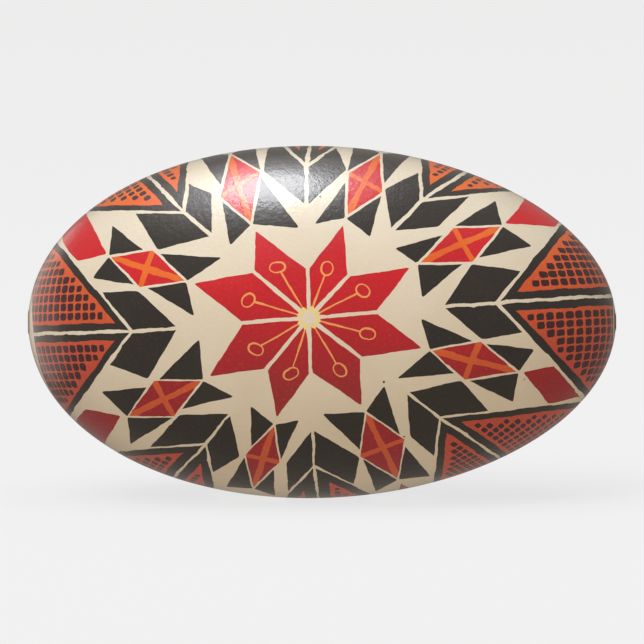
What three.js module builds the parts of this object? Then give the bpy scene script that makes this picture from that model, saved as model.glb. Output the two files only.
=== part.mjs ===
// Pysanka: a blown goose egg, dyed by wax resist, varnished, with both blow holes sealed by beeswax.
// Millimetres, +Z up. The egg lies on its side with its long axis along X and its pointed end
// towards +X; the two painted stars face -Y and +Y. The origin is below the middle of its length,
// on the surface it rests on.
import * as THREE from "three";

// Driving dimensions
const EGG_LENGTH = 90;
const EGG_DIAMETER = 54;
const EGG_TAPER = 2; // how far the widest girth lies behind mid-length, towards the blunt end
const VARNISH_THICKNESS = 0.12;
const CUTICLE_THICKNESS = 0.1; // outer skin of the shell, which holds the dyes
const SHELL_THICKNESS = 0.55;
const OUTER_MEMBRANE_THICKNESS = 0.08;
const INNER_MEMBRANE_THICKNESS = 0.06;
const LAYER_GAP = 0.03; // clearance that keeps neighbouring layers apart as separate solids
const BLUNT_HOLE_RADIUS = 1.5;
const POINTED_HOLE_RADIUS = 1;
const PLUG_CLEARANCE = 0.04; // between a plug's stem and its hole
const PLUG_BEAD_OVERHANG = 0.9; // how much wider than its hole the bead of wax inside the egg is
const PLUG_BEAD_HEIGHT = 1.4;
const PLUG_BEAD_GAP = 0.15; // between that bead and the curved wall it hangs from
const AIR_CELL_CROWN = 1.5; // how far the membrane across the air cell bulges towards the blunt end

// Fineness of the solids: an odd number of bands leaves one flat band round the widest girth.
const SIDES = 24;
const BANDS = 13;
const BAND_ANGLE = Math.PI / BANDS;
const AIR_CELL_BANDS = 3; // the inner membrane leaves the outer one here, at the blunt end

// The egg's flats, and not their corners, lie on its true girth, so that it rests on a flat.
const HALF_LENGTH = EGG_LENGTH / 2;
const CORNER_RADIUS = EGG_DIAMETER / 2 / (Math.cos(Math.PI / SIDES) * Math.cos(BAND_ANGLE / 2));

// A point of the egg's outline, depth below its surface. angle runs from 0 at the blunt pole to PI.
// x is the radius and y the place along the axis, as a lathe reads them.
function outlinePoint(angle, depth) {
  const along = -HALF_LENGTH * Math.cos(angle) - EGG_TAPER * Math.sin(angle) ** 2;
  const radius = CORNER_RADIUS * Math.sin(angle);
  const normal = new THREE.Vector2(
    Math.sin(angle) * (HALF_LENGTH - 2 * EGG_TAPER * Math.cos(angle)),
    -CORNER_RADIUS * Math.cos(angle),
  ).normalize();
  return new THREE.Vector2(radius, along).addScaledVector(normal, -depth);
}

// The angle at which the outline, at that depth, has that radius: halving steps from a pole.
function angleAtRadius(radius, depth, atBluntEnd) {
  const BISECTIONS = 50;
  let nearPole = atBluntEnd ? 0 : Math.PI;
  let nearGirth = Math.PI / 2;
  for (let step = 0; step < BISECTIONS; step++) {
    const middle = (nearPole + nearGirth) / 2;
    if (outlinePoint(middle, depth).x < radius) nearPole = middle;
    else nearGirth = middle;
  }
  return nearGirth;
}

// Outline points from one blow hole to the other, at one depth.
function wallLine(depth) {
  const points = [outlinePoint(angleAtRadius(BLUNT_HOLE_RADIUS, depth, true), depth)];
  for (let band = 1; band < BANDS; band++) {
    points.push(outlinePoint(band * BAND_ANGLE, depth));
  }
  points.push(outlinePoint(angleAtRadius(POINTED_HOLE_RADIUS, depth, false), depth));
  return points;
}

// Outline points of the inner membrane: straight across the air cell, then along the wall.
function airCellLine(depth) {
  const CROWN_STEPS = 4;
  const rim = outlinePoint(AIR_CELL_BANDS * BAND_ANGLE, depth);
  const points = [];
  for (let step = 0; step <= CROWN_STEPS; step++) {
    const radius = BLUNT_HOLE_RADIUS + ((rim.x - BLUNT_HOLE_RADIUS) * step) / CROWN_STEPS;
    const crown = AIR_CELL_CROWN * (1 - (radius / rim.x) ** 2);
    points.push(new THREE.Vector2(radius, rim.y - crown));
  }
  return points.concat(wallLine(depth).filter((point) => point.y > rim.y + 1));
}

// Turns a closed profile about the egg's axis. The half step puts a flat underneath.
function turned(profile) {
  return new THREE.LatheGeometry(profile, SIDES, Math.PI / SIDES);
}

// A hollow layer between two lines that run from the blunt hole to the pointed one.
function layerBetween(outerLine, innerLine) {
  const loop = [...outerLine, ...innerLine.reverse()];
  return turned([...loop, loop[0].clone()]);
}

function layer(depth, thickness, line = wallLine) {
  return layerBetween(line(depth), line(depth + thickness));
}

// A wax plug: flush outside, a stem through the wall, and a bead that spread inside the egg.
function plug(holeRadius, wallDepth, atBluntEnd) {
  const stem = holeRadius - PLUG_CLEARANCE;
  const inwards = atBluntEnd ? 1 : -1;
  const pole = outlinePoint(atBluntEnd ? 0 : Math.PI, 0);
  const flush = outlinePoint(angleAtRadius(stem, 0, atBluntEnd), 0);
  const bead = stem + PLUG_BEAD_OVERHANG;
  const underWall = outlinePoint(angleAtRadius(bead, wallDepth, atBluntEnd), wallDepth);
  const beadTop = underWall.y + inwards * PLUG_BEAD_GAP;
  const profile = [
    new THREE.Vector2(0, pole.y),
    flush,
    new THREE.Vector2(stem, beadTop),
    new THREE.Vector2(bead, beadTop),
    new THREE.Vector2(bead * 0.75, beadTop + inwards * PLUG_BEAD_HEIGHT * 0.8),
    new THREE.Vector2(0, beadTop + inwards * PLUG_BEAD_HEIGHT),
  ];
  return turned(atBluntEnd ? profile : profile.reverse());
}

const materials = {
  varnish: new THREE.MeshStandardMaterial({ color: 0xf2ead2, roughness: 0.12, metalness: 0 }),
  cuticle: new THREE.MeshStandardMaterial({ color: 0xb3242f, roughness: 0.4, metalness: 0 }),
  shell: new THREE.MeshStandardMaterial({ color: 0xefe6cf, roughness: 0.7, metalness: 0 }),
  membrane: new THREE.MeshStandardMaterial({ color: 0xe9dfc8, roughness: 0.85, metalness: 0 }),
  wax: new THREE.MeshStandardMaterial({ color: 0xd9a441, roughness: 0.5, metalness: 0 }),
};

// The group's Y axis is the egg's long axis; turning it lays the egg on its side.
const pysanka = new THREE.Group();
pysanka.rotation.z = -Math.PI / 2;
pysanka.position.z = EGG_DIAMETER / 2;

function addPart(name, geometry, material) {
  const mesh = new THREE.Mesh(geometry, material);
  mesh.name = name;
  pysanka.add(mesh);
}

// Depth of each layer's outer face, from the varnish inwards
const cuticleDepth = VARNISH_THICKNESS + LAYER_GAP;
const shellDepth = cuticleDepth + CUTICLE_THICKNESS + LAYER_GAP;
const outerMembraneDepth = shellDepth + SHELL_THICKNESS + LAYER_GAP;
const innerMembraneDepth = outerMembraneDepth + OUTER_MEMBRANE_THICKNESS + LAYER_GAP;
const bluntWallDepth = outerMembraneDepth + OUTER_MEMBRANE_THICKNESS;
const pointedWallDepth = innerMembraneDepth + INNER_MEMBRANE_THICKNESS;

addPart("varnish_coat", layer(0, VARNISH_THICKNESS), materials.varnish);
addPart("dyed_cuticle", layer(cuticleDepth, CUTICLE_THICKNESS), materials.cuticle);
addPart("eggshell", layer(shellDepth, SHELL_THICKNESS), materials.shell);
addPart("outer_membrane", layer(outerMembraneDepth, OUTER_MEMBRANE_THICKNESS), materials.membrane);
addPart(
  "inner_membrane",
  layer(innerMembraneDepth, INNER_MEMBRANE_THICKNESS, airCellLine),
  materials.membrane,
);
addPart("blunt_end_wax_plug", plug(BLUNT_HOLE_RADIUS, bluntWallDepth, true), materials.wax);
addPart("pointed_end_wax_plug", plug(POINTED_HOLE_RADIUS, pointedWallDepth, false), materials.wax);

// The shared frame: the group above is turned, so it hangs in one that is not.
const root = new THREE.Group();
root.add(pysanka);

export default root;
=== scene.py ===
import math
import random

import bpy
import numpy as np
from mathutils import Matrix, Vector
from mathutils.geometry import delaunay_2d_cdt
from mathutils.kdtree import KDTree


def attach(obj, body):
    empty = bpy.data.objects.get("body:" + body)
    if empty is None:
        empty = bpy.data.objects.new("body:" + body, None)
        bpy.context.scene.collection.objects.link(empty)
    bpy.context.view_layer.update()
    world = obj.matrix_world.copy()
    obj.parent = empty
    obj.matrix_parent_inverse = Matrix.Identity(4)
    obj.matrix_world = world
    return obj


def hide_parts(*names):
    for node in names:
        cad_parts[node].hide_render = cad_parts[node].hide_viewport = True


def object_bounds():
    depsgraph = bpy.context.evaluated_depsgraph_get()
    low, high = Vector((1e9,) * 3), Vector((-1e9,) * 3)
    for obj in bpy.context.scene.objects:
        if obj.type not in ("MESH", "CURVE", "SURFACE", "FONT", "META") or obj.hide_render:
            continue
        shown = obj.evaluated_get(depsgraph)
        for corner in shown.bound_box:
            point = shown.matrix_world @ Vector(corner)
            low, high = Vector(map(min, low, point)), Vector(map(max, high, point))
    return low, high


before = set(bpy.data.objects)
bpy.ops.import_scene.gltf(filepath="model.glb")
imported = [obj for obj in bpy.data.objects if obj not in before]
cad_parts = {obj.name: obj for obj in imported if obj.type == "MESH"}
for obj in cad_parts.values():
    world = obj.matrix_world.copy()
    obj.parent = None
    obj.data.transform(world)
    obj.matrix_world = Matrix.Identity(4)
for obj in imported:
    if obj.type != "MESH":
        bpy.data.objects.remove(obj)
cad_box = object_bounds()

# ---------------------------------------------------------------- egg
HALF_LENGTH = round((cad_box[1][0] - cad_box[0][0]) * 500, 3)  # half of the CAD egg's length, mm
RADIUS = round((cad_box[1][2] - cad_box[0][2]) * 500, 3)  # half of its thickness, mm
TAPER = 2.0  # how far the widest girth lies behind mid-length, towards the blunt end, mm
LIMB = math.pi / 2  # from the star's centre to the rim of its half, as an angle

# ---------------------------------------------------------------- pattern, mm and degrees
# Each list has one value for a spoke or for the petal and diamond after it, anticlockwise from the
# pointed end. Reaches are mm from the star's centre, bearings degrees. Ahead is anticlockwise.
# Most places were read by eye off the photographed egg and put on the chart by a scratch script:
# these lists are measured tables, and are not worked out from a few dimensions.
SPOKE_BEARINGS = [5, 47, 91, 140, 184, 230, 272, 322.5]
SPOKE_ENDS = [5, 44.2, 89.6, 138.5, 182.6, 228.5, 273, 323.6]
PETAL_BEARINGS = [27, 70, 121.5, 163.5, 210, 252, 301, 345]
DIAMOND_BEARINGS = [26.5, 67, 115.5, 163, 207.5, 251.5, 299, 345.5]
SHOULDER_REACH = [10.1, 8.7, 7.3, 11, 10.1, 10, 8.2, 9.8]
PETAL_TIP_REACH = [17.6, 16.0, 16.5, 19.2, 18.4, 16.8, 16.2, 18.0]
APEX_REACH = [20.9, 19.3, 18.6, 20.8, 21.1, 20.2, 18.2, 19.5]
JUNCTION_REACH = [30.1, 28.2, 28.2, 28.4, 29.8, 28.4, 26.2, 27.3]
RING_REACH = [9.2, 8.1, 9.2, 9.7, 9.5, 9.0, 9.3, 9.2]
WING_REACH = [27.5, 26.2, 28.3, 28, 29, 27.3, 25.8, 26.3]
WING_AHEAD = [14, 13, 16, 16, 16, 13, 18, 15]
WING_BEHIND = [12, 11, 15, 12, 13, 14, 11, 12]
TAIL_AHEAD_REACH = [36.6, 35.4, 40, 38.5, 36.3, 35.4, 34, 34.7]
TAIL_BEHIND_REACH = [35.5, 37.4, 40, 34.5, 37, 39.6, 36.2, 34.8]
ARM_AHEAD = [22.2, 56.6, 98, 154.8, 201.2, 240.5, 290, 343.2]
ARM_BEHIND = [343.8, 33, 81, 127, 162.8, 213, 262, 307]
DIAMOND_NEAR = 1.35
DIAMOND_FAR_REACH = [37.6, 38.8, 39.8, 37.6, 37.9, 36.6, 36.3, 36.1]
SIDE_AHEAD_REACH = [28.4, 27.5, 26.1, 28.8, 28.6, 25.8, 26.3, 27.2]
SIDE_BEHIND_REACH = [27.9, 25.3, 28.4, 28.8, 28.0, 26.3, 25.6, 26.8]
SIDE_AHEAD = [6.6, 8.4, 11.2, 7.1, 7.9, 7.1, 9.5, 7.1]
SIDE_BEHIND = [7.3, 7.2, 7.5, 6.7, 6.5, 7.2, 8.8, 7.7]
POINT_AHEAD_REACH = [17.4, 15.1, 17.1, 18.1, 17.3, 16.4, 15.8, 17.1]
POINT_BEHIND_REACH = [17.6, 16.1, 14.5, 16.8, 17.6, 16.8, 15.4, 16.6]
POINT_AHEAD = [12.6, 16.6, 16, 15.6, 16, 12.6, 17.1, 15]
POINT_BEHIND = [16.7, 16.8, 25.4, 18.2, 19.5, 16, 23, 19.7]
OUTER_AHEAD_REACH = [41.9, 49, 52, 39.9, 43.6, 39.7, 40.5, 38]
OUTER_BEHIND_REACH = [41.3, 50, 50, 41.3, 40.6, 39.6, 40.2, 38.2]
OUTER_AHEAD = [6.9, 9, 8.5, 6.5, 6.5, 7.4, 8.5, 6.7]
OUTER_BEHIND = [7.7, 8.5, 8.5, 8, 9, 8.3, 7.7, 8.1]
NET_STEP_ALONG = [1.24, 1.2, 1.3, 1.2, 0.98, 1.15, 1.15, 1.0]
NET_STEP_ACROSS = [1.32, 1.3, 1.35, 1.35, 1.42, 1.2, 1.2, 1.06]

# How far the triangles reach along a diamond's sides, behind and ahead, from its near and far tips
INNER_PARTS = [
    (0.82, 0.78), (0.95, 0.8), (0.9, 0.93), (0.85, 0.85),
    (0.9, 0.78), (0.75, 0.97), (0.85, 0.85), (0.75, 0.87),
]
OUTER_PARTS = [
    (0.88, 1), (0.85, 1), (1, 0.8), (0.8, 0.9),
    (0.82, 1), (0.95, 0.8), (0.93, 0.87), (0.93, 0.9),
]
# The blade that runs on round the egg, by spoke: its side, and its last corner's reach and bearing
ARROWS_ON_ROUND = {2: (1, 47, 101.5)}
NET_DOT_SIZE = [1, 0.84, 0.84, 0.92, 1, 0.95, 0.9, 0.96]
# Corners of the red rhomb beyond a diamond, as reach and bearing
RHOMBS = {
    0: ((38.6, 26.9), (62, 31.6), (70, 23.5), (53, 21.6)),
    3: ((38.4, 162.5), (49, 156.6), (64, 153.5), (70, 159.9), (45.9, 166.2)),
    4: ((39.3, 206.4), (51.4, 209.6), (64, 211), (66, 203), (48.4, 201)),
    6: ((38.6, 299.2), (52, 302), (52, 296.2)),
    7: ((37, 345.7), (44.3, 349.2), (59.8, 344.1), (47.6, 340.1)),
}

# Widths of the wax lines and dyed bands, and sizes of the small rings
LINES = [0.52, 0.62, 0.64, 0.6, 0.54, 0.42, 0.42, 0.44]
STAR_LINE = 0.6
FINE_LINES = [0.4, 0.45, 0.45, 0.36, 0.28, 0.28, 0.28, 0.33]
RIM_LINE = 0.6
EDGE_BAND = 1.5
STAMEN_LINE = 0.25
STAMEN_RING = 2.25
CROSS_LINE = 0.95
BANDS = [1.2, 1.2, 1.2, 1.2, 1.05, 1.45, 1.8, 1.2]
POINTED_RING = 3.4
BLUNT_RING = 3.2
BLUNT_RING_LINE = 0.35
CAP_TOP, CAP_WIDEST, CAP_BOTTOM = 14, -3, -31  # the undyed oval's rise along the rim, degrees
CAP_REACH = 12  # how far it comes round to the front, degrees
SPECKS = 22


def polar(reach, bearing):
    """A chart point that far from the star's centre, at that bearing, anticlockwise from +X."""
    turn = math.radians(bearing)
    return (reach * math.cos(turn), reach * math.sin(turn))


def direction(point):
    """The way from the egg's middle to a chart point, on an egg stretched into a unit ball."""
    a, b = point[0] / HALF_LENGTH, point[1] / RADIUS
    reach = math.hypot(a, b)
    scale = math.sin(reach) / reach if reach > 1e-9 else 1.0
    return (a * scale, -math.cos(reach), b * scale)


def chart(way):
    """The chart point of a direction: the opposite of direction()."""
    reach = math.acos(max(-1.0, min(1.0, -way[1])))
    across = math.hypot(way[0], way[2])
    if across < 1e-12:
        return (0.0, 0.0)
    return (HALF_LENGTH * reach * way[0] / across, RADIUS * reach * way[2] / across)


def reach_of(point):
    """How far round from the star's centre a chart point lies, as an angle on the unit ball."""
    return math.hypot(point[0] / HALF_LENGTH, point[1] / RADIUS)


def on_egg(point):
    """A chart point's place on the smooth egg, from its middle."""
    x, y, z = direction(point)
    return (HALF_LENGTH * x - TAPER * (1 - x * x), RADIUS * y, RADIUS * z)


def rim(bearing, beyond=0.0):
    """The chart point where that bearing meets the rim of this half, or some degrees beyond."""
    turn = math.radians(bearing)
    unit = math.hypot(math.cos(turn) / HALF_LENGTH, math.sin(turn) / RADIUS)
    return polar((LIMB + math.radians(beyond)) / unit, bearing)


def straight(start, end, steps=24):
    """Points on the flat cut through the egg, square to the star's face, from start to end."""
    a, b = direction(start), direction(end)
    points = []
    for i in range(steps + 1):
        t = math.sin(i / steps * LIMB)
        x = a[0] + (b[0] - a[0]) * t
        z = a[2] + (b[2] - a[2]) * t
        points.append(chart((x, -math.sqrt(max(0.0, 1 - x * x - z * z)), z)))
    return points


def metric(point):
    """The egg's first fundamental form at a chart point."""
    h = 0.01
    p, q = point
    a0, a1 = on_egg((p - h, q)), on_egg((p + h, q))
    b0, b1 = on_egg((p, q - h)), on_egg((p, q + h))
    u = [(y - x) / (2 * h) for x, y in zip(a0, a1)]
    v = [(y - x) / (2 * h) for x, y in zip(b0, b1)]
    return (sum(x * x for x in u), sum(x * y for x, y in zip(u, v)), sum(y * y for y in v))


def left_of(point, along):
    """The chart step that is 1 mm to the left of a line running along that way."""
    e, f, g = metric(point)
    du, dv = along
    gu = e * du + f * dv
    gv = f * du + g * dv
    area = math.sqrt(max(1e-9, e * g - f * f))
    length = math.sqrt(max(1e-12, du * gu + dv * gv))
    return (-gv / (area * length), gu / (area * length))


def span(a, b):
    """The length on the egg of a short step on the chart."""
    pa, pb = on_egg(a), on_egg(b)
    return math.dist(pa, pb)


def resample(points, step):
    """The same line with points about a step apart on the egg, and the length up to each."""
    lengths = [0.0]
    for a, b in zip(points, points[1:]):
        lengths.append(lengths[-1] + span(a, b))
    total = lengths[-1]
    count = max(2, round(total / step))
    out = []
    i = 0
    for n in range(count + 1):
        s = total * n / count
        while i < len(points) - 2 and lengths[i + 1] < s:
            i += 1
        t = (s - lengths[i]) / max(1e-9, lengths[i + 1] - lengths[i])
        a, b = points[i], points[i + 1]
        out.append((a[0] + (b[0] - a[0]) * t, a[1] + (b[1] - a[1]) * t))
    return out, total


def steady(point):
    """1 over most of the star, falling to 0 at the rim, where both halves' lines meet."""
    return max(0.0, min(1.0, (LIMB - reach_of(point)) / math.radians(7)))


def waver(rng, size):
    """A hand's tremor along a line: a smooth offset in mm at each length s."""
    waves = []
    for wave_length, part in ((0.9, 0.15), (2.1, 0.35), (5.5, 0.7), (13.0, 0.8)):
        waves.append((2 * math.pi / wave_length * rng.uniform(0.8, 1.25), part, rng.uniform(0, 6.283)))
    nicks = [(rng.uniform(0, 60), rng.uniform(-1, 1)) for _ in range(5)]

    def offset(s):
        shake = sum(part * math.sin(rate * s + phase) for rate, part, phase in waves)
        nick = sum(2.2 * deep * math.exp(-(((s - at) / 0.3) ** 2)) for at, deep in nicks)
        return size * (shake + nick)

    return offset


def ways(points):
    """The way a line runs at each of its points."""
    out = []
    for i in range(len(points)):
        a, b = points[max(0, i - 1)], points[min(len(points) - 1, i + 1)]
        out.append((b[0] - a[0], b[1] - a[1]))
    return out


def ribbon(line, left, right, rng, shake=0.07, caps=True, step=0.4):
    """The outline of a line drawn round the middle line: left and right widths in mm."""
    points, total = resample(line, step)
    shake_left, shake_right = waver(rng, shake), waver(rng, shake)
    ahead, back = [], []
    for i, (point, way) in enumerate(zip(points, ways(points))):
        n = left_of(point, way)
        s = total * i / (len(points) - 1)
        calm = steady(point)
        wl = left + calm * shake_left(s) if left else 0.0
        wr = right + calm * shake_right(s) if right else 0.0
        ahead.append((point[0] + n[0] * wl, point[1] + n[1] * wl))
        back.append((point[0] - n[0] * wr, point[1] - n[1] * wr))
    start_cap, end_cap = [], []
    if caps:
        for side, other, cap in ((ahead[-1], back[-1], end_cap), (back[0], ahead[0], start_cap)):
            across = ((side[0] - other[0]) / 2, (side[1] - other[1]) / 2)
            middle = ((side[0] + other[0]) / 2, (side[1] + other[1]) / 2)
            turned = (across[1], -across[0])
            for angle in (45, 90, 135):
                c, s = math.cos(math.radians(angle)), math.sin(math.radians(angle))
                x = middle[0] + across[0] * c + turned[0] * s
                y = middle[1] + across[1] * c + turned[1] * s
                cap.append((x, y))
    return ahead + end_cap + back[::-1] + start_cap


def side_of(a, b):
    """A side from a to b: a flat cut over the star, or simply onwards past the rim."""
    if max(reach_of(a), reach_of(b)) < LIMB:
        return straight(a, b, 10)
    return [a, b]


def field(corners, rng, shake=0.06, corner=0.28, step=0.45):
    """A filled shape with hand-drawn straight sides and slightly rounded corners."""
    outline = []
    n = len(corners)
    for i in range(n):
        a, b = corners[i], corners[(i + 1) % n]
        points, total = resample(side_of(a, b), step)
        offset = waver(rng, shake)
        side = []
        for j, (point, way) in enumerate(zip(points, ways(points))):
            s = total * j / (len(points) - 1)
            if s < corner * 0.99 or s > total - corner * 0.99:
                continue
            m = left_of(point, way)
            w = offset(s) * steady(point) * min(1.0, 2 * (s / total), 2 * (1 - s / total)) ** 0.5
            side.append((point[0] + m[0] * w, point[1] + m[1] * w))
        if not side:
            side = [((a[0] + b[0]) / 2, (a[1] + b[1]) / 2)]
        outline.append(side)
    out = []
    for i in range(n):
        last, first, tip = outline[i - 1][-1], outline[i][0], corners[i]
        out.append((last[0] / 4 + first[0] / 4 + tip[0] / 2, last[1] / 4 + first[1] / 4 + tip[1] / 2))
        out.extend(outline[i])
    return out


def blot(centre, wide, high, rng, way=(1, 0), sides=8, square=0.0, rough=0.08):
    """A dot: wide along the way and high across it, in mm, more square as square nears 1."""
    n = left_of(centre, way)
    e, f, g = metric(centre)
    length = math.sqrt(e * way[0] ** 2 + 2 * f * way[0] * way[1] + g * way[1] ** 2)
    m = (way[0] / length, way[1] / length)
    out = []
    for i in range(sides):
        angle = 2 * math.pi * (i + 0.5) / sides
        c, s = math.cos(angle), math.sin(angle)
        swell = (1 - square) + square / max(abs(c), abs(s))
        r = swell * (1 + rng.uniform(-rough, rough)) / 2
        u, v = wide * r * c, high * r * s
        out.append((centre[0] + m[0] * u + n[0] * v, centre[1] + m[1] * u + n[1] * v))
    return out


def hand_ring(centre, across, line, rng):
    """The outer and inner outlines of a small ring drawn in one stroke, thicker on one side."""
    outer, inner = [], []
    lean, squash = rng.uniform(0, 6.283), rng.uniform(0.06, 0.19)
    heavy = rng.uniform(0, 6.283)
    n = left_of(centre, (1, 0))
    m = left_of(centre, (0, -1))
    for i in range(18):
        angle = 2 * math.pi * i / 18
        r = across / 2 * (1 + squash * math.cos(2 * (angle - lean)) + rng.uniform(-0.025, 0.025))
        thin = line * (1 + 0.3 * math.cos(angle - heavy) + rng.uniform(-0.1, 0.1))
        c, s = math.cos(angle), math.sin(angle)
        for radius, ring in ((r, outer), (r - thin, inner)):
            x = centre[0] + radius * (c * m[0] + s * n[0])
            y = centre[1] + radius * (c * m[1] + s * n[1])
            ring.append((x, y))
    return outer, inner


def inside(point, outline):
    """Whether an outline encloses a point."""
    x, y = point
    hit = False
    for (ax, ay), (bx, by) in zip(outline, outline[1:] + outline[:1]):
        if (ay > y) != (by > y) and x < (bx - ax) * (y - ay) / (by - ay) + ax:
            hit = not hit
    return hit


def net_stretch(point):
    """How much wider the net's cells are drawn round the side than in the middle."""
    return 1 / max(0.62, math.cos(reach_of(point)) ** 0.8)


def net_feet(spoke, step):
    """Points along a spoke, a net cell apart."""
    points, _ = resample(spoke, 0.1)
    feet, walked, due = [], 0.0, 0.5 * step
    for a, b in zip(points, points[1:]):
        walked += span(a, b)
        if walked >= due:
            feet.append(b)
            due = walked + step * net_stretch(b)
    return feet


def net_dots(k, spoke, outline, borders):
    """Places, ways and spare room of dots in rows beside a spoke, clear of the panel's borders."""
    step_across, clear = NET_STEP_ACROSS[k], LINES[k] / 2 + BANDS[k] + 0.8
    base = net_feet(spoke, NET_STEP_ALONG[k])
    marks = [on_egg(p) for line in borders for p in resample(line, 0.5)[0]]
    dots = []
    for foot, way in zip(base, ways(base)):
        for side in (1, -1):
            point = foot
            walk = LINES[k] / 2 + BANDS[k] + 0.45 + step_across * 0.5
            for _ in range(40):
                for _ in range(4):
                    n = left_of(point, way)
                    point = (point[0] + side * n[0] * walk / 4, point[1] + side * n[1] * walk / 4)
                walk = step_across
                if reach_of(point) > LIMB - 0.06 or not inside(point, outline):
                    break
                here = on_egg(point)
                room = min(math.dist(here, mark) for mark in marks) - clear
                if room > 0:
                    dots.append((point, way, room))
    return dots


def band(k, line, side, rng):
    """The black band along one side, 1 or -1 for left or right, of a spoke's or an arm's line."""
    wide = BANDS[k] + LINES[k] / 2
    return ribbon(line, wide if side > 0 else 0, wide if side < 0 else 0, rng)


def net_panel(k, side, line, spoke, rim_at, rng):
    """The orange panel between a spoke and one arm of its arrow, with its bands and net."""
    turn = (rim_at - SPOKE_ENDS[k] + 180) % 360 - 180
    bearings = [SPOKE_ENDS[k] + turn * i / 12 for i in range(13)]
    edge = [rim(bearing) for bearing in bearings]
    beyond = [rim(bearing, 5) for bearing in bearings]
    panel = line + beyond[::-1] + spoke[::-1][:-1]
    shapes = [
        (1, "panel", panel),
        (3, "black", band(k, line, -side, rng)),
        (3, "black", band(k, spoke, side, rng)),
        (3, "black", ribbon(edge, EDGE_BAND, EDGE_BAND, rng, caps=False)),
    ]
    for centre, way, room in net_dots(k, spoke, panel, (line, edge)):
        if (left_side(centre, spoke) > 0) != (side > 0):
            continue
        size = min(1.0, 0.76 + 0.5 * room) * NET_DOT_SIZE[k]
        wide = NET_STEP_ALONG[k] * rng.uniform(0.78, 0.9) * net_stretch(centre) * size
        high = NET_STEP_ACROSS[k] * rng.uniform(0.79, 0.91) * size
        shapes.append((2, "net", blot(centre, wide, high, rng, way, 12, 0.5)))
    return shapes


def arrow(k, rng):
    """A spoke with the two black arrow blades and the two net panels beside it."""
    bearing = SPOKE_BEARINGS[k]
    half = LINES[k] / 2
    junction = polar(JUNCTION_REACH[k], bearing)
    apex = polar(APEX_REACH[k], bearing)
    spoke = straight(junction, rim(SPOKE_ENDS[k]))
    shapes = []
    for side, wing_at, tail_reach, rim_at in (
        (1, WING_AHEAD[k], TAIL_AHEAD_REACH[k], ARM_AHEAD[k]),
        (-1, WING_BEHIND[k], TAIL_BEHIND_REACH[k], ARM_BEHIND[k]),
    ):
        wing = polar(WING_REACH[k], bearing + side * wing_at)
        line = straight(junction, rim(rim_at), 40)
        shapes += net_panel(k, side, line, spoke, rim_at, rng)
        tails = [min(line, key=lambda p: abs(math.hypot(*p) - tail_reach))]
        if k in ARROWS_ON_ROUND and side == ARROWS_ON_ROUND[k][0]:
            tails = [line[-1], polar(*ARROWS_ON_ROUND[k][1:])]
        shapes.append((1, "black", field([apex, junction] + tails + [wing], rng, corner=0.15)))
        shapes.append((4, "cream", ribbon(line, half, half, rng)))
    shapes.append((4, "cream", ribbon(straight(apex, junction, 6) + spoke[1:], half, half, rng)))
    return shapes


def petal(k, rng):
    """A red petal, between two spokes."""
    after = (k + 1) % 8
    shoulders = (
        polar(SHOULDER_REACH[k], SPOKE_BEARINGS[k]),
        polar(SHOULDER_REACH[after], SPOKE_BEARINGS[after]),
    )
    tip = polar(PETAL_TIP_REACH[k], PETAL_BEARINGS[k])
    return [(1, "red", field([(0, 0), shoulders[0], tip, shoulders[1]], rng))]


def diamond(k, rng):
    """A red diamond with an orange cross, white lines round it and its four black triangles."""
    bearing, set_at = PETAL_BEARINGS[k], DIAMOND_BEARINGS[k]
    near = polar(PETAL_TIP_REACH[k] + DIAMOND_NEAR, bearing)
    far = polar(DIAMOND_FAR_REACH[k], set_at)
    sides = (
        polar(SIDE_BEHIND_REACH[k], set_at - SIDE_BEHIND[k]),
        polar(SIDE_AHEAD_REACH[k], set_at + SIDE_AHEAD[k]),
    )
    points = (
        polar(POINT_BEHIND_REACH[k], bearing - POINT_BEHIND[k]),
        polar(POINT_AHEAD_REACH[k], bearing + POINT_AHEAD[k]),
    )
    outers = (
        polar(OUTER_BEHIND_REACH[k], set_at - OUTER_BEHIND[k]),
        polar(OUTER_AHEAD_REACH[k], set_at + OUTER_AHEAD[k]),
    )
    shapes = [(1, "red", field([near, sides[0], far, sides[1]], rng, corner=0.1))]
    for stroke in ([near, far], sides):
        shapes.append((2, "cross", ribbon(stroke, CROSS_LINE / 2, CROSS_LINE / 2, rng, 0.08, False)))
    fine = FINE_LINES[k] / 2
    for n, (side, point, outer) in enumerate(zip(sides, points, outers)):
        for end, tip, part in ((near, point, INNER_PARTS[k][n]), (far, outer, OUTER_PARTS[k][n])):
            corner = (end[0] + (side[0] - end[0]) * part, end[1] + (side[1] - end[1]) * part)
            shapes.append((1, "black", field([end, corner, tip], rng, corner=0.15)))
        shapes.append((4, "cream", ribbon(straight(near, side, 8), fine, fine, rng, 0.05)))
        shapes.append((4, "cream", ribbon(straight(side, far, 8), fine, fine, rng, 0.05)))
    return shapes


def stamen(k, rng):
    """The white line on one side of a petal, and the yellow ringed stamen along its middle."""
    bearing = PETAL_BEARINGS[k]
    shoulder = polar(SHOULDER_REACH[k] + 0.2, SPOKE_BEARINGS[k])
    stem = polar(RING_REACH[k] - 1.1, bearing)
    outer, inner = hand_ring(polar(RING_REACH[k], bearing), STAMEN_RING, STAMEN_LINE, rng)
    return [
        (4, "cream", ribbon([(0, 0), shoulder], STAR_LINE / 2, STAR_LINE / 2, rng, 0.05)),
        (5, "yellow", ribbon([(0, 0), stem], STAMEN_LINE / 2, STAMEN_LINE / 2, rng, 0.04)),
        (5, "yellow", outer),
        (6, "red", inner),
        (6, "lemon", blot(polar(1.15, bearing), 1.5, 0.85, rng, polar(1, bearing), 8)),
    ]


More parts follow.
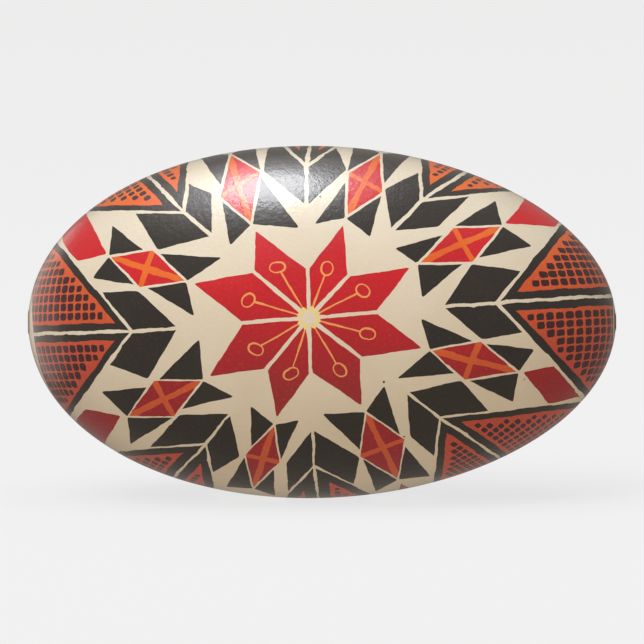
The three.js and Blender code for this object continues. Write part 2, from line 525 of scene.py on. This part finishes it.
def round_pole(x, radius):
    """Chart points of a circle on the egg round its blunt (-1) or pointed (1) end."""
    tilt = math.asin(radius / RADIUS)
    loop = []
    for i in range(40):
        angle = 2 * math.pi * i / 40
        y, z = -math.sin(tilt) * math.cos(angle), math.sin(tilt) * math.sin(angle)
        loop.append(chart((x * math.cos(tilt), y, z)))
    return loop


def line_in_arcs(points, colour, width, rng):
    """A closed line as overlapping arcs, because an outline can't have a hole."""
    shapes = []
    for first in range(0, len(points), 10):
        arc = (points + points)[first:first + 12]
        shapes.append((9, colour, ribbon(arc, width / 2, width / 2, rng, 0.0, False)))
    return shapes


def blunt_cap():
    """The undyed oval round the blunt end's blow hole: its half on this side of the rim."""
    outline = []
    for i in range(25):
        rise = CAP_TOP + (CAP_BOTTOM - CAP_TOP) * i / 24
        from_widest = (rise - CAP_WIDEST) / ((CAP_TOP if rise > CAP_WIDEST else CAP_BOTTOM) - CAP_WIDEST)
        in_front = math.radians(CAP_REACH * (1 - from_widest ** 2) - 0.5)
        up = math.radians(rise)
        level = -math.cos(in_front) * math.cos(up)
        outline.append(chart((level, -math.sin(in_front), math.cos(in_front) * math.sin(up))))
    first, last = (math.degrees(math.atan2(p[1], p[0])) % 360 for p in (outline[0], outline[-1]))
    return outline + [rim(last + (first - last) * i / 20, 5) for i in range(21)]


def ends_and_rim(rng):
    """The plain blunt end, rings round both blow holes, and the line where the halves meet."""
    shapes = [(8, "cream", blunt_cap())]
    shapes += line_in_arcs(round_pole(-1, BLUNT_RING), "black", BLUNT_RING_LINE, rng)
    pointed_ring = round_pole(1, POINTED_RING)
    shapes.append((8, "black", pointed_ring))
    shapes += line_in_arcs(pointed_ring, "cream", RIM_LINE, rng)
    for start in range(0, 360, 30):
        arc = [rim(start + turn) for turn in range(-1, 32, 2)]
        shapes.append((9, "cream", ribbon(arc, RIM_LINE / 2, RIM_LINE / 2, rng, 0.0, False)))
    return shapes


def speck(rng):
    """A fleck of dark dye that got under the wax."""
    centre = polar(rng.uniform(11, 42), rng.uniform(0, 360))
    size = rng.uniform(0.22, 0.42)
    return (10, "speck", blot(centre, size, size * rng.uniform(0.7, 1.2), rng, (1, 0), 7, rough=0.2))


def star_shapes(seed):
    """Every drawn shape of one half, as (layer, colour, outline); higher layers cover lower ones."""
    rng = random.Random(seed)
    shapes = [(7, "cream", blot((0, 0), 2.2, 2.1, rng, (1, 0), 18))]
    for k in range(8):
        shapes += arrow(k, rng)
        shapes += petal(k, rng)
        shapes += diamond(k, rng)
        shapes += stamen(k, rng)
        if k in RHOMBS:
            corners = [polar(*corner) for corner in RHOMBS[k]]
            shapes.append((1, "red", field(corners, rng, corner=0.1)))
    shapes += ends_and_rim(rng)
    shapes += [speck(rng) for _ in range(SPECKS)]
    return shapes


def left_side(point, line):
    """Positive where the point is left of the line's nearest stretch."""
    best, sign = 1e9, 0.0
    for a, b in zip(line, line[1:]):
        middle = ((a[0] + b[0]) / 2, (a[1] + b[1]) / 2)
        far = (point[0] - middle[0]) ** 2 + (point[1] - middle[1]) ** 2
        if far < best:
            best = far
            sign = (b[0] - a[0]) * (point[1] - a[1]) - (b[1] - a[1]) * (point[0] - a[0])
    return sign


# ---------------------------------------------------------------- the egg's surface
MM = 0.001
STAR_RAISE = 6.3  # degrees that the front star's centre is rolled up from level
FILM = 0.22  # thickness of the dyed skin with its varnish, mm
LUMPS = 0.02  # depth of the shell's slow unevenness, mm


def unevenness(ways_out):
    """How far the shell lies below the true egg at each direction, mm: slow lumps, never proud."""
    x, y, z = ways_out[:, 0], ways_out[:, 1], ways_out[:, 2]
    slow = np.sin(9 * x + 5 * y + 1.3) + np.sin(7 * z - 8 * x + 0.4) + np.sin(11 * y + 6 * z + 2.1)
    quick = np.sin(23 * x - 17 * z + 0.7) + np.sin(19 * y + 21 * x + 1.9) + np.sin(26 * z - 15 * y)
    return LUMPS * (1 + slow / 3) + 0.35 * LUMPS * (1 + quick / 3)


def surface(ways_out, depth=0.0):
    """Points in mm of the egg, lying on the floor, at these directions from its middle."""
    x = ways_out[:, 0]
    lie = 1 - unevenness(ways_out) / RADIUS
    along = (HALF_LENGTH * x - TAPER * (1 - x * x)) * lie
    points = np.stack([along, RADIUS * ways_out[:, 1] * lie, RADIUS * ways_out[:, 2] * lie], 1)
    if depth:
        points = points - depth * normals(ways_out)
    return points + np.array([0.0, 0.0, RADIUS])


def normals(ways_out):
    """Outward unit normals of that surface."""
    step = 1e-3
    helper = np.where(np.abs(ways_out[:, :1]) > 0.9, [[0.0, 0.0, 1.0]], [[1.0, 0.0, 0.0]])
    u = np.cross(helper, ways_out)
    u /= np.linalg.norm(u, axis=1, keepdims=True)
    v = np.cross(ways_out, u)

    def moved(by):
        there = ways_out + by
        return surface(there / np.linalg.norm(there, axis=1, keepdims=True))

    out = np.cross(moved(step * u) - moved(-step * u), moved(step * v) - moved(-step * v))
    return out / np.linalg.norm(out, axis=1, keepdims=True)


def roll(ways_out):
    """Rolls the drawing about the egg's long axis, so that its star faces a little upwards."""
    c, s = math.cos(math.radians(STAR_RAISE)), math.sin(math.radians(STAR_RAISE))
    x, y, z = ways_out[:, 0], ways_out[:, 1], ways_out[:, 2]
    return np.stack([x, y * c + z * s, z * c - y * s], 1)


# ---------------------------------------------------------------- from drawing to pieces
GRID = 1.15  # spacing of the extra points that keep the films round, mm
SEEDS = (3, 8)  # of the hand's waver on the front half and on the back half
NEAR_RIM = 0.004  # a point this near the rim, in radians, lies on it
SAME_POINT = 2e-4  # rim points of both halves this close together are joined


def turns_left(outline):
    """Whether an outline runs anticlockwise."""
    return sum(a[0] * b[1] - b[0] * a[1] for a, b in zip(outline, outline[1:] + outline[:1])) > 0


def cut_up(shapes):
    """Triangles of one half's chart, and the topmost colour of each."""
    points, edges, faces = [], [], []
    edge_count = 360
    for i in range(edge_count):
        points.append(rim(360 * i / edge_count))
        edges.append((i, (i + 1) % edge_count))
    for _, _, outline in shapes:
        first = len(points)
        points.extend(outline)
        face = list(range(first, len(points)))
        faces.append(face if turns_left(outline) else face[::-1])
    rows = int(2 * RADIUS * LIMB / GRID)
    for row in range(rows + 1):
        q = (row - rows / 2) * GRID
        columns = int(2 * HALF_LENGTH * LIMB / (1.4 * GRID))
        for column in range(columns + 1):
            p = (column - columns / 2 + (row % 2) / 2) * 1.4 * GRID
            if reach_of((p, q)) < LIMB - 0.02:
                points.append((p, q))
    vectors = [Vector(p) for p in points]
    verts, _, triangles, _, _, sources = delaunay_2d_cdt(vectors, edges, faces, 0, 1e-5, True)
    chart_points = [(v.x, v.y) for v in verts]
    kept, colours = [], []
    for triangle, inside_of in zip(triangles, sources):
        middle = (
            sum(chart_points[i][0] for i in triangle) / 3,
            sum(chart_points[i][1] for i in triangle) / 3,
        )
        if reach_of(middle) > LIMB:
            continue
        layers = sorted(((shapes[i][0], i) for i in inside_of), reverse=True)
        names = [shapes[i][1] for _, i in layers] + ["cream"]
        speck = names[0] == "speck"
        names = [n for n in names if n != "speck"]
        while names[0] == "cross" and "red" not in names:
            names.pop(0)
        if names[0] == "cross":
            names[0] = "orange"
        kept.append(triangle)
        colours.append("black" if speck and names[0] == "cream" else names[0])
    return chart_points, kept, colours


def both_halves():
    """Directions, triangles and colours of the whole egg, the halves joined along the rim."""
    ways_out, triangles, colours = [], [], []
    rim_tree = None
    rim_ids = []
    for seed, facing in zip(SEEDS, (1, -1)):
        chart_points, kept, names = cut_up(star_shapes(seed))
        ids = []
        for point in chart_points:
            x, y, z = direction(point)
            on_rim = abs(reach_of(point) - LIMB) < NEAR_RIM
            found = None
            if facing < 0 and on_rim:
                _, index, far = rim_tree.find((x, y, z))
                if far < SAME_POINT:
                    found = rim_ids[index]
            if found is None:
                ways_out.append((x, facing * y, z))
                found = len(ways_out) - 1
            ids.append(found)
        for triangle in kept:
            triangles.append([ids[i] for i in triangle][::facing])
        colours.extend(names)
        if facing > 0:
            rim_ids = [i for i, p in zip(ids, chart_points) if abs(reach_of(p) - LIMB) < NEAR_RIM]
            rim_tree = KDTree(len(rim_ids))
            for n, i in enumerate(rim_ids):
                rim_tree.insert(ways_out[i], n)
            rim_tree.balance()
    triangles, colours = np.array(triangles), np.array(colours)
    _, first, times = np.unique(np.sort(triangles, 1), axis=0, return_index=True, return_counts=True)
    single = first[times == 1]
    return roll(np.array(ways_out)), triangles[single], colours[single]


def new_piece(name, points, faces, material, replaced, face_normals=None):
    """A mesh object, from points in mm, riding on the egg."""
    mesh = bpy.data.meshes.new(name)
    mesh.from_pydata((np.asarray(points) * MM).tolist(), [], faces)
    mesh.shade_smooth()
    if face_normals is not None:
        mesh.normals_split_custom_set(face_normals)
    mesh.materials.append(material)
    piece = bpy.data.objects.new(name, mesh)
    bpy.context.scene.collection.objects.link(piece)
    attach(piece, "root")
    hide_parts(*replaced)
    return piece


def film(name, ways_out, triangles, material):
    """A closed thin film over these triangles: outer face, inner face and the walls between."""
    used, local = np.unique(triangles, return_inverse=True)
    local = local.reshape(-1, 3)
    count = len(used)
    outer = surface(ways_out[used])
    inner = surface(ways_out[used], FILM)
    out_normals = normals(ways_out[used])
    half_edges = np.concatenate([local[:, [0, 1]], local[:, [1, 2]], local[:, [2, 0]]])
    keys = half_edges[:, 0].astype(np.int64) * count + half_edges[:, 1]
    back_keys = half_edges[:, 1].astype(np.int64) * count + half_edges[:, 0]
    border = half_edges[~np.isin(keys, back_keys)]
    faces = local.tolist() + (local[:, ::-1] + count).tolist()
    loops = out_normals[local].reshape(-1, 3).tolist()
    loops += (-out_normals[local[:, ::-1]]).reshape(-1, 3).tolist()
    for a, b in border.tolist():
        faces.append([b, a, a + count, b + count])
        way = np.cross(outer[b] - outer[a], out_normals[a])
        way = (way / max(1e-9, np.linalg.norm(way))).tolist()
        loops += [way] * 4
    points = np.concatenate([outer, inner])
    return new_piece(name, points, faces, material, ("dyed_cuticle", "varnish_coat"), loops)


# ---------------------------------------------------------------- layers inside, and the wax plugs
SHELL_DEPTH, SHELL_THICKNESS = 0.28, 0.55
OUTER_SKIN_DEPTH, OUTER_SKIN = 0.86, 0.08
INNER_SKIN_DEPTH, INNER_SKIN = 0.97, 0.06
HOLES = {-1: 1.5, 1: 1.0}  # radius of the blow hole at the blunt (-X) and the pointed (+X) end
AIR_CELL_ANGLE = 41.5  # from the blunt pole to where the inner membrane leaves the wall
AIR_CELL_CROWN = 1.5


def outline_at(angles, depth):
    """Radius and place along the axis of the egg's outline, depth below its surface."""
    along = -HALF_LENGTH * np.cos(angles) - TAPER * np.sin(angles) ** 2
    out = np.stack([np.sin(angles) * (HALF_LENGTH - 2 * TAPER * np.cos(angles)), -RADIUS * np.cos(angles)], 1)
    out /= np.linalg.norm(out, axis=1, keepdims=True)
    return np.stack([RADIUS * np.sin(angles), along], 1) - depth * out


def pole_angle(radius, depth, end):
    """The outline angle where that layer has that radius, near the end -1 or 1."""
    angles = np.linspace(0, 0.3, 600)
    reached = np.interp(radius, outline_at(angles, depth)[:, 0], angles)
    if end < 0:
        return reached
    mirrored = outline_at(np.pi - angles, depth)[:, 0]
    return np.pi - np.interp(radius, mirrored, angles)


def wall_line(depth, start=None):
    """The egg's outline at a depth, from the blunt hole, or that angle, to the pointed hole."""
    first = pole_angle(HOLES[-1], depth, -1) if start is None else start
    return outline_at(np.linspace(first, pole_angle(HOLES[1], depth, 1), 90), depth)


def air_cell_line(depth):
    """Across the air cell as a shallow crown, then along the wall."""
    wall = wall_line(depth, math.radians(AIR_CELL_ANGLE))
    radii = np.linspace(HOLES[-1], wall[0, 0], 14)[:-1]
    crown = AIR_CELL_CROWN * (1 - (radii / wall[0, 0]) ** 2)
    return np.concatenate([np.stack([radii, wall[0, 1] - crown], 1), wall])


def lumpy(points, size, pitch):
    """A slow uneven offset for each point, in mm, with lumps about a pitch apart."""
    x, y, z = (points * (6.28 / pitch)).T
    waves = np.sin(x + 0.7 * y + 1.1) + np.sin(0.8 * y - 0.9 * z + 0.3) + np.sin(1.1 * z + 0.6 * x + 2.2)
    fine = np.sin(2.3 * x - 1.9 * z) + np.sin(2.1 * y + 2.4 * z + 0.9) + np.sin(2.6 * x - 2.2 * y + 1.7)
    return size * (waves / 3 + 0.4 * fine / 3)


def turned(name, profile, material, replaced, slot, size, pitch, segments=112):
    """A closed profile turned about the egg's axis, its faces slightly uneven."""
    count = len(profile)
    rows = []
    for i in range(segments):
        turn = 2 * math.pi * i / segments
        rows.append(np.stack([
            profile[:, 1],
            profile[:, 0] * math.cos(turn),
            profile[:, 0] * math.sin(turn) + RADIUS,
        ], 1))
    points = np.concatenate(rows)
    middle = np.stack([points[:, 0], points[:, 1] * 0, points[:, 1] * 0 + RADIUS], 1)
    out = points - middle
    out /= np.maximum(1e-6, np.linalg.norm(out, axis=1, keepdims=True))
    points = points + out * lumpy(points, size, pitch)[:, None]
    faces = []
    for i in range(segments):
        here, after = i * count, (i + 1) % segments * count
        for j in range(count):
            k = (j + 1) % count
            faces.append([here + j, after + j, after + k, here + k])
    piece = new_piece(name, points, faces, material, replaced)
    piece.data.set_sharp_from_angle(angle=math.radians(50))
    return piece


def layer(name, line, depth, thickness, material, slot, size, pitch):
    """A hollow layer whose faces follow that line at its depth and a thickness below."""
    loop = np.concatenate([line(depth), line(depth + thickness)[::-1]])
    return turned(name + "_wall", loop, material, (name,), slot, size, pitch)


def plug(name, end, wall_depth, material):
    """Wax run through a blow hole: a smeared lip outside, a stem, and a bead hanging inside."""
    hole = HOLES[end]
    stem = hole - 0.04
    wall = outline_at(np.array([pole_angle(stem + 0.9, wall_depth, end)]), wall_depth)[0]
    inside_face = abs(wall[1]) - 0.15

    def over(radius, proud):
        """A profile point at that radius, proud of the egg's surface."""
        angle = pole_angle(radius, 0, end) if radius else (math.pi if end > 0 else 0)
        return (radius, abs(outline_at(np.array([angle]), 0)[0, 1]) + proud)

    outside = [over(0, -0.02), over(0.3 * stem, 0), over(0.6 * stem, 0.02), over(0.85 * stem, 0.04)]
    outside += [over(hole + 0.1, 0.05), over(hole + 0.28, 0.04), over(hole + 0.42, 0.02)]
    outside += [over(hole + 0.4, 0.01), over(hole + 0.05, 0.01), over(stem, -0.03)]
    bead = [(stem, inside_face), (stem + 0.35, inside_face - 0.02), (stem + 0.72, inside_face - 0.2)]
    bead += [(stem + 0.78, inside_face - 0.55), (stem + 0.55, inside_face - 0.95)]
    bead += [(0.75 * stem, inside_face - 1.25), (0.4 * stem, inside_face - 1.38), (0, inside_face - 1.42)]
    profile = np.array([(r, end * along) for r, along in outside + bead])
    segments = 64
    points = [(profile[0, 1], 0, RADIUS)]
    for r, along in profile[1:-1]:
        for i in range(segments):
            turn = 2 * math.pi * i / segments
            sway = 1 + (0.05 * math.sin(2 * turn + end) + 0.035 * math.sin(5 * turn + 1.3)) * (r > hole)
            points.append((along, r * sway * math.cos(turn), r * sway * math.sin(turn) + RADIUS))
    points.append((profile[-1, 1], 0, RADIUS))
    rings = len(profile) - 2
    faces = []
    for i in range(segments):
        j = (i + 1) % segments
        faces.append([0, 1 + i, 1 + j])
        for ring in range(rings - 1):
            a, b = 1 + ring * segments, 1 + (ring + 1) * segments
            faces.append([a + i, b + i, b + j, a + j])
        last = 1 + (rings - 1) * segments
        faces.append([last + i, len(points) - 1, last + j])
    if end < 0:
        faces = [face[::-1] for face in faces]
    piece = new_piece(name + "_wax", points, faces, material, (name,))
    piece.data.set_sharp_from_angle(angle=math.radians(60))
    return piece


# ---------------------------------------------------------------- materials
def node(tree, kind, **inputs):
    """A new node with these input values."""
    made = tree.nodes.new(kind)
    for name, value in inputs.items():
        made.inputs[name].default_value = value
    return made


def new_material(name):
    """A new material, its node tree and its shader."""
    material = bpy.data.materials.new(name)
    material.use_nodes = True
    tree = material.node_tree
    return material, tree, tree.nodes["Principled BSDF"]


def noise(tree, place, scale, detail=2.0, rough=0.5):
    """Noise from 0 to 1 with features about 1 / scale metres apart."""
    made = tree.nodes.new("ShaderNodeTexNoise")
    made.inputs["Scale"].default_value = scale
    made.inputs["Detail"].default_value = detail
    made.inputs["Roughness"].default_value = rough
    tree.links.new(place, made.inputs["Vector"])
    return made.outputs["Fac"]


def spread(tree, value, low, high, start=0.3, end=0.7):
    """Maps start..end of a value to low..high."""
    made = tree.nodes.new("ShaderNodeMapRange")
    made.inputs["From Min"].default_value = start
    made.inputs["From Max"].default_value = end
    made.inputs["To Min"].default_value = low
    made.inputs["To Max"].default_value = high
    tree.links.new(value, made.inputs["Value"])
    return made.outputs["Result"]


def blend_colours(tree, amount, first, second):
    """The colour between two colours or sockets, by an amount from 0 to 1."""
    made = tree.nodes.new("ShaderNodeMix")
    made.data_type = "RGBA"
    tree.links.new(amount, made.inputs["Factor"])
    for value, socket in ((first, made.inputs["A"]), (second, made.inputs["B"])):
        if isinstance(value, tuple):
            socket.default_value = (*value, 1)
        else:
            tree.links.new(value, socket)
    return made.outputs["Result"]


def dyed(name, dye, deep, pale, patchiness=0.5, painted_shade=None, painted_shade_full_below=0.019, painted_shade_clear_above=0.036):
    """Dye under varnish: cloudy colour, fine specks where the shell took it less, pores, gloss.

    Where a shade colour is given, it is painted shade: the dye darkens to it towards the bottom of the egg,
    wholly below one height on the egg, in metres, and not at all above the other.
    """
    material, tree, shader = new_material(name)
    place = tree.nodes.new("ShaderNodeTexCoord").outputs["Object"]
    clouds = spread(tree, noise(tree, place, 110, 3), 0, patchiness)
    tint = blend_colours(tree, clouds, dye, deep)
    # Painted shade: the dye darkens towards the bottom of the egg, by its height on the egg.
    if painted_shade:
        height = tree.nodes.new("ShaderNodeSeparateXYZ")
        tree.links.new(place, height.inputs[0])
        painted_shade_amount = spread(tree, height.outputs["Z"], 1, 0, painted_shade_full_below, painted_shade_clear_above)
        tint = blend_colours(tree, painted_shade_amount, tint, painted_shade)
    grain = spread(tree, noise(tree, place, 2600, 2, 0.6), 0, 0.55, 0.56, 0.8)
    tint = blend_colours(tree, grain, tint, pale)
    tree.links.new(tint, shader.inputs["Base Color"])
    shader.inputs["Specular IOR Level"].default_value = 0.2
    shader.inputs["Coat Weight"].default_value = 1.0
    shader.inputs["Coat IOR"].default_value = 1.5
    shader.inputs["Coat Roughness"].default_value = 0.17
    tree.links.new(spread(tree, noise(tree, place, 300, 2), 0.36, 0.5), shader.inputs["Roughness"])
    pores = tree.nodes.new("ShaderNodeTexVoronoi")
    pores.inputs["Scale"].default_value = 1150
    tree.links.new(place, pores.inputs["Vector"])
    pits = spread(tree, pores.outputs["Distance"], 0, 1, 0.05, 0.3)
    orange_peel = noise(tree, place, 1150, 3, 0.6)
    bump_peel = tree.nodes.new("ShaderNodeBump")
    bump_peel.inputs["Strength"].default_value = 1.0
    bump_peel.inputs["Distance"].default_value = 0.00006
    tree.links.new(orange_peel, bump_peel.inputs["Height"])
    bump_pits = tree.nodes.new("ShaderNodeBump")
    bump_pits.inputs["Strength"].default_value = 1.0
    bump_pits.inputs["Distance"].default_value = 0.000007
    tree.links.new(pits, bump_pits.inputs["Height"])
    tree.links.new(bump_peel.outputs["Normal"], bump_pits.inputs["Normal"])
    tree.links.new(bump_pits.outputs["Normal"], shader.inputs["Normal"])
    tree.links.new(bump_pits.outputs["Normal"], shader.inputs["Coat Normal"])
    return material


def build_films():
    """One closed film per colour, each with its name and then what dyed() takes."""
    # The sixth value, and for panel_orange_dye the two heights after it, is painted shade: a darker colour
    # that the dye turns to towards the bottom of the egg.
    dyes = {
        "cream": ("undyed_ground", (0.79, 0.72, 0.60), (0.72, 0.63, 0.48), (0.86, 0.81, 0.71), 0.6),
        "yellow": ("yellow_dye", (0.88, 0.39, 0.13), (0.82, 0.31, 0.09), (0.90, 0.58, 0.28), 0.5),
        "lemon": ("lemon_dye", (0.90, 0.72, 0.26), (0.86, 0.62, 0.17), (0.92, 0.80, 0.50), 0.5),
        "orange": (
            "orange_dye", (0.83, 0.17, 0.022), (0.72, 0.11, 0.018), (0.88, 0.26, 0.06), 0.7,
            (0.64, 0.105, 0.035),
        ),
        "panel": (
            "panel_orange_dye", (0.84, 0.16, 0.022), (0.74, 0.105, 0.02), (0.88, 0.24, 0.06), 0.7,
            (0.56, 0.075, 0.042), 0.022, 0.047,
        ),
        "red": (
            "red_dye", (0.66, 0.014, 0.024), (0.54, 0.012, 0.022), (0.70, 0.06, 0.06), 0.7,
            (0.35, 0.018, 0.026),
        ),
        "black": ("black_dye", (0.036, 0.031, 0.027), (0.026, 0.023, 0.022), (0.075, 0.063, 0.055), 0.7),
        "net": ("net_dots", (0.062, 0.020, 0.022), (0.040, 0.015, 0.020), (0.10, 0.05, 0.05), 0.7),
    }
    ways_out, triangles, colours = both_halves()
    for colour, (name, *tints) in dyes.items():
        mine = triangles[colours == colour]
        piece = film(name, ways_out, mine, dyed(name, *tints))
        print(name, len(mine), "triangles", len(piece.data.polygons), "faces")


def plain(name, first, second, rough, scale, depth, waxy=0.0):
    """Matt shell, membrane or wax: two mixed tints over a fine uneven face."""
    material, tree, shader = new_material(name)
    place = tree.nodes.new("ShaderNodeTexCoord").outputs["Object"]
    tint = blend_colours(tree, spread(tree, noise(tree, place, scale, 4), 0, 1), first, second)
    tree.links.new(tint, shader.inputs["Base Color"])
    roughness = spread(tree, noise(tree, place, 2 * scale, 2), rough - 0.08, rough + 0.08)
    tree.links.new(roughness, shader.inputs["Roughness"])
    if waxy:
        shader.inputs["Subsurface Weight"].default_value = waxy
        shader.inputs["Subsurface Radius"].default_value = (0.0012, 0.0007, 0.0003)
        shader.inputs["Subsurface Scale"].default_value = 1.0
    bump = tree.nodes.new("ShaderNodeBump")
    bump.inputs["Distance"].default_value = depth
    tree.links.new(noise(tree, place, 6 * scale, 5, 0.6), bump.inputs["Height"])
    tree.links.new(bump.outputs["Normal"], shader.inputs["Normal"])
    return material


def build_inside():
    """The shell wall, the two membranes and the wax in the two blow holes."""
    shell = plain("calcite_shell", (0.83, 0.80, 0.72), (0.78, 0.73, 0.63), 0.62, 180, 0.00004)
    outer = plain("outer_membrane_skin", (0.80, 0.75, 0.64), (0.72, 0.65, 0.52), 0.5, 260, 0.00005)
    inner = plain("inner_membrane_skin", (0.84, 0.79, 0.68), (0.76, 0.68, 0.54), 0.45, 320, 0.00005)
    skins = (
        ("eggshell", wall_line, SHELL_DEPTH, SHELL_THICKNESS, shell, "eggshell", 0.004, 6),
        ("outer_membrane", wall_line, OUTER_SKIN_DEPTH, OUTER_SKIN, outer, "membrane", 0.01, 5),
        ("inner_membrane", air_cell_line, INNER_SKIN_DEPTH, INNER_SKIN, inner, "membrane", 0.01, 4),
    )
    for skin in skins:
        layer(*skin)
    wax = plain("beeswax_drop", (0.62, 0.36, 0.10), (0.50, 0.27, 0.07), 0.42, 420, 0.00006, 0.3)
    plug("blunt_end_wax_plug", -1, OUTER_SKIN_DEPTH + OUTER_SKIN, wax)
    plug("pointed_end_wax_plug", 1, INNER_SKIN_DEPTH + INNER_SKIN, wax)


# ---------------------------------------------------------------- stage, lights, camera
def build_stage():
    """A pale floor and a pale room that look alike, so that the egg stands on plain paper."""
    mesh = bpy.data.meshes.new("floor")
    ring = [(12 * math.cos(i * math.pi / 32), 12 * math.sin(i * math.pi / 32), 0) for i in range(64)]
    mesh.from_pydata(ring, [], [list(range(64))])
    floor = bpy.data.objects.new("floor", mesh)
    material, tree, shader = new_material("floor_paper")
    shader.inputs["Base Color"].default_value = (0.13, 0.13, 0.13, 1)
    shader.inputs["Emission Color"].default_value = (0.741, 0.744, 0.751, 1)
    shader.inputs["Emission Strength"].default_value = 1.0
    shader.inputs["Roughness"].default_value = 1.0
    shader.inputs["Specular IOR Level"].default_value = 0.0
    mesh.materials.append(material)
    bpy.context.scene.collection.objects.link(floor)
    floor.visible_glossy = False
    floor.visible_diffuse = False
    floor.visible_shadow = False

    world = bpy.data.worlds.new("room")
    bpy.context.scene.world = world
    world.use_nodes = True
    tree = world.node_tree
    tree.nodes.clear()
    out = tree.nodes.new("ShaderNodeOutputWorld")
    room = node(tree, "ShaderNodeBackground", Color=(1.0, 0.88, 0.74, 1), Strength=0.42)
    seen = node(tree, "ShaderNodeBackground", Color=(0.871, 0.871, 0.871, 1), Strength=1.0)
    path = tree.nodes.new("ShaderNodeLightPath")
    mix = tree.nodes.new("ShaderNodeMixShader")
    tree.links.new(path.outputs["Is Camera Ray"], mix.inputs[0])
    tree.links.new(room.outputs[0], mix.inputs[1])
    tree.links.new(seen.outputs[0], mix.inputs[2])
    dim = node(tree, "ShaderNodeBackground", Color=(1.0, 0.9, 0.8, 1), Strength=0.24)
    shine = tree.nodes.new("ShaderNodeMixShader")
    tree.links.new(path.outputs["Is Glossy Ray"], shine.inputs[0])
    tree.links.new(mix.outputs[0], shine.inputs[1])
    tree.links.new(dim.outputs[0], shine.inputs[2])
    tree.links.new(shine.outputs[0], out.inputs["Surface"])


def aim(thing, target, up=(0, 0, 1)):
    """Turns a lamp or camera towards a point, with its own Y axis nearest to up."""
    back = (thing.location - Vector(target)).normalized()
    side = Vector(up).cross(back).normalized()
    turned_axes = Matrix((side, back.cross(side), back)).transposed()
    thing.rotation_mode = "QUATERNION"
    thing.rotation_quaternion = turned_axes.to_quaternion()


def area_light(name, place, width, height, power, colour, diffuse=True, glossy=True):
    """An oval softbox aimed at the egg; with diffuse or glossy off, it makes only the other."""
    light = bpy.data.lights.new(name, "AREA")
    light.shape = "ELLIPSE"
    light.size = width
    light.size_y = height
    light.energy = power
    light.color = colour
    lamp = bpy.data.objects.new(name, light)
    lamp.location = place
    aim(lamp, (0, 0, RADIUS * MM), (0, 1, 0.3))
    lamp.visible_diffuse = diffuse
    lamp.visible_glossy = glossy
    lamp.visible_camera = False
    bpy.context.scene.collection.objects.link(lamp)


def build_lights():
    """Nested softboxes overhead for the highlight, a panel for the left rim, soft key and fills."""
    cool = (0.95, 0.96, 1.0)
    area_light("softbox", (-0.072, 0.132, 0.62), 0.19, 0.34, 1.5, cool, diffuse=False)
    area_light("softbox_edge", (-0.09, 0.13, 0.61), 0.34, 0.6, 0.8, cool, diffuse=False)
    area_light("wash", (-0.1, 0.13, 0.6), 0.5, 0.95, 0.6, cool, diffuse=False)
    area_light("left_panel", (-0.75, 0.62, 0.0), 0.8, 1.3, 1.4, (1.0, 0.84, 0.78), diffuse=False)
    area_light("ceiling", (-0.1, -0.1, 0.95), 1.3, 1.0, 5.0, (0.93, 0.97, 1.0), glossy=False)
    area_light("low_fill", (0.1, -0.6, -0.6), 0.9, 0.5, 1.6, (1.0, 0.76, 0.5), glossy=False)
    sun = bpy.data.lights.new("soft_key", "SUN")
    sun.energy = 1.4
    sun.angle = math.radians(40)
    sun.color = (1.0, 0.98, 0.95)
    key = bpy.data.objects.new("soft_key", sun)
    key.location = (-0.35, -0.6, 0.72)
    aim(key, (0, 0, 0))
    key.visible_glossy = False
    bpy.context.scene.collection.objects.link(key)


def build_camera():
    """A long lens from 5 degrees above level, square to the egg's long axis."""
    camera = bpy.data.objects.new("camera", bpy.data.cameras.new("camera"))
    camera.data.lens = 800
    camera.data.sensor_width = 36
    elevation = math.radians(5)
    middle = Vector((0, 0, RADIUS * MM))
    camera.location = middle + Vector((0, -math.cos(elevation), math.sin(elevation))) * 2.19
    aim(camera, middle)
    camera.data.clip_start = 0.05
    camera.data.clip_end = 50
    bpy.context.scene.collection.objects.link(camera)
    bpy.context.scene.camera = camera


bpy.context.scene.view_settings.view_transform = "Standard"
build_camera()
build_stage()
build_lights()
build_films()
build_inside()
